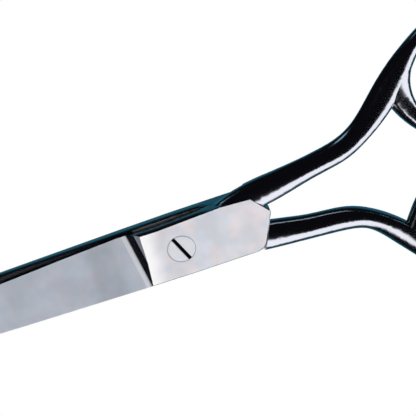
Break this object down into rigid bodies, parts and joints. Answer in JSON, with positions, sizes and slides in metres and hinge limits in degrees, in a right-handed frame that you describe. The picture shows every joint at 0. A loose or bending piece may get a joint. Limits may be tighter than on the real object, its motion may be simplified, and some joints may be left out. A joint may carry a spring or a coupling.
{
  "type": "hair cutting shears",
  "caption": "Straight barber shears, closed: two ground blades on a flush slotted pivot screw, rounded shanks, finger and thumb rings, rubber bumper and little-finger rest.",
  "frame": {"origin": "on the pivot axis, at the resting back face", "axes": "+X from the pivot towards the finger rings, +Z along the pivot axis out of the screw's head"},
  "size_m": [0.1939, 0.0678, 0.006],
  "materials": {
    "satin_steel": "satin ground flats, mirror-polished shanks and rings",
    "back_steel": "satin ground flats, mirror-polished shanks and rings",
    "screw_steel": "satin, turned and slotted",
    "black_rubber": "matt moulded rubber",
    "polished_steel": "mirror polished"
  },
  "bodies": {
    "finger_half": {"finger_shear": "back_steel", "bumper": "black_rubber", "finger_rest": "polished_steel"},
    "thumb_half": {"thumb_shear": "satin_steel"},
    "screw": {"pivot_screw": "screw_steel"}
  },
  "joints": [
    {"name": "pivot", "type": "hinge", "parent": "finger_half", "child": "thumb_half", "pos_m": [0, 0, 0.003], "axis": [0, 0, 1], "range_deg": [0, 65]},
    {"name": "screw_turn", "type": "hinge", "parent": "finger_half", "child": "screw", "pos_m": [0, 0, 0.003], "axis": [0, 0, 1], "range_deg": [-30, 30]}
  ]
}
